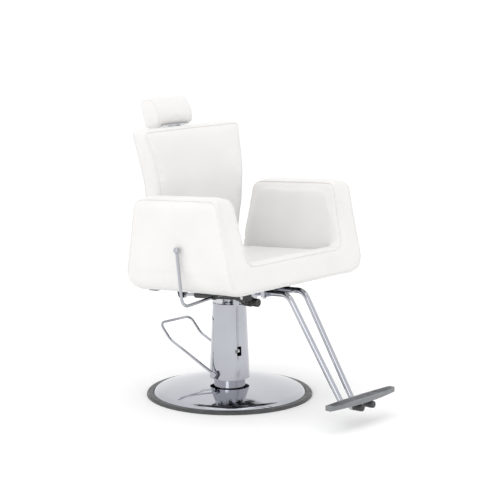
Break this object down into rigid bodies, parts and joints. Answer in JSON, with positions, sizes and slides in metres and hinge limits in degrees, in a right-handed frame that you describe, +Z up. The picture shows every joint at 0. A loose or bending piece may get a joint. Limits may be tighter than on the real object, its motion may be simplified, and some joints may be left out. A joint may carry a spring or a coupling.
{
  "type": "styling chair",
  "caption": "White upholstered hydraulic styling chair with arms, reclining back, headrest, chrome footrest and a round chrome pump base.",
  "frame": {"origin": "on the floor, on the axis of the pump column", "axes": "+Z up, the sitter faces -Y, +X is the sitter's left"},
  "size_m": [0.6895, 0.926, 0.9827],
  "materials": {
    "rubber": "matt black rubber",
    "cast_iron": "rough painted casting",
    "black_paint": "satin black paint",
    "steel": "plain bright steel",
    "chrome": "polished chrome plate",
    "bronze": "plain bearing bronze",
    "plywood": "plain plywood",
    "white_upholstery": "white leatherette over foam",
    "ribbed_slate": "dark slate ribbed rubber on a steel plate",
    "black_plastic": "fine grained black plastic"
  },
  "bodies": {
    "base": {"base_plate": "cast_iron", "base_dome": "chrome", "trim_ring": "rubber", "pump_block": "chrome", "flange_bolts": "steel", "pump_cylinder": "black_paint", "gland_nut": "steel", "ram_wiper": "rubber", "valve_screw": "steel", "column_shroud": "chrome", "shroud_cap": "chrome", "shaft_bushes": "bronze", "pedal_spring": "steel"},
    "pedal": {"pedal_shaft": "steel", "pedal_hubs": "chrome", "pedal_rod": "chrome", "pump_cam": "steel"},
    "plunger": {"plunger": "steel"},
    "ram": {"ram": "chrome", "thrust_washer": "bronze"},
    "seat": {"spindle": "steel", "seat_hub": "steel", "mount_frame": "steel", "seat_fasteners": "steel", "seat_board": "plywood", "arm_boards": "plywood", "frame_straps": "black_paint", "arm_pad_right": "white_upholstery", "arm_pad_left": "white_upholstery", "seat_base_pad": "white_upholstery", "seat_cushion": "white_upholstery", "hinge_cheeks": "black_paint", "hinge_pins": "steel", "underseat_brackets": "black_paint", "lock_collar": "chrome", "index_tab": "chrome", "footrest_tubes": "chrome", "footrest_clamp": "chrome", "footrest_brackets": "chrome", "tube_plugs": "rubber", "footplate": "ribbed_slate"},
    "lock_knob": {"lock_knob": "black_plastic"},
    "gas_cylinder": {"gas_cylinder": "black_paint", "release_pin": "steel"},
    "gas_rod": {"gas_rod": "chrome"},
    "recline_lever": {"recline_rod": "chrome", "recline_ball": "chrome", "release_cam": "steel"},
    "backrest": {"back_pad": "white_upholstery", "back_board": "plywood", "rear_panel": "white_upholstery", "back_bars": "black_paint", "bar_bolts": "steel", "pivot_tube": "black_paint", "spring_lug": "black_paint", "headrest_socket": "black_plastic"},
    "headrest_post": {"headrest_post": "chrome"},
    "headrest": {"headrest_bracket": "steel", "tilt_bolt": "steel", "headrest_pillow": "white_upholstery"}
  },
  "joints": [
    {"name": "pump_lift", "type": "slide", "parent": "base", "child": "ram", "axis": [0, 0, 1], "range_m": [0, 0.14]},
    {"name": "seat_swivel", "type": "hinge", "parent": "ram", "child": "seat", "pos_m": [0, 0, 0.34], "axis": [0, 0, 1], "continuous": true},
    {"name": "back_recline", "type": "hinge", "parent": "seat", "child": "backrest", "pos_m": [0, 0.18, 0.398], "axis": [-1, 0, 0], "range_deg": [0, 40]},
    {"name": "gas_cylinder_pivot", "type": "hinge", "parent": "seat", "child": "gas_cylinder", "pos_m": [-0.052, -0.118, 0.356], "axis": [1, 0, 0], "range_deg": [0, 4.3]},
    {"name": "gas_rod_slide", "type": "slide", "parent": "gas_cylinder", "child": "gas_rod", "axis": [0, 0.995, -0.0999], "range_m": [-0.0452, 0]},
    {"name": "recline_lever", "type": "hinge", "parent": "seat", "child": "recline_lever", "pos_m": [-0.045, -0.114, 0.392], "axis": [-0.9963, 0, -0.0858], "range_deg": [0, 12], "stiffness_Nm_per_rad": 8, "springref_deg": -17.19},
    {"name": "headrest_height", "type": "slide", "parent": "backrest", "child": "headrest_post", "axis": [0, 0.1908, 0.9816], "range_m": [0, 0.08]},
    {"name": "headrest_tilt", "type": "hinge", "parent": "headrest_post", "child": "headrest", "pos_m": [0, 0.242, 0.886], "axis": [1, 0, 0], "range_deg": [-10, 30]},
    {"name": "swivel_lock", "type": "hinge", "parent": "seat", "child": "lock_knob", "pos_m": [0, -0.066, 0.3295], "axis": [0, 1, 0], "range_deg": [0, 180]},
    {"name": "pedal_pivot", "type": "hinge", "parent": "base", "child": "pedal", "pos_m": [0, 0, 0.078], "axis": [-1, 0, 0], "range_deg": [0, 20], "stiffness_Nm_per_rad": 10, "springref_deg": -20.05},
    {"name": "plunger_slide", "type": "slide", "parent": "base", "child": "plunger", "axis": [0, 0, -1], "range_m": [0, 0.0053]}
  ],
  "couplings": [
    {"joint": "gas_cylinder_pivot", "follows": "back_recline", "ratio": 0.10636},
    {"joint": "gas_rod_slide", "follows": "back_recline", "m_per_rad": -0.06437},
    {"joint": "plunger_slide", "follows": "pedal_pivot", "m_per_rad": 0.0149}
  ]
}
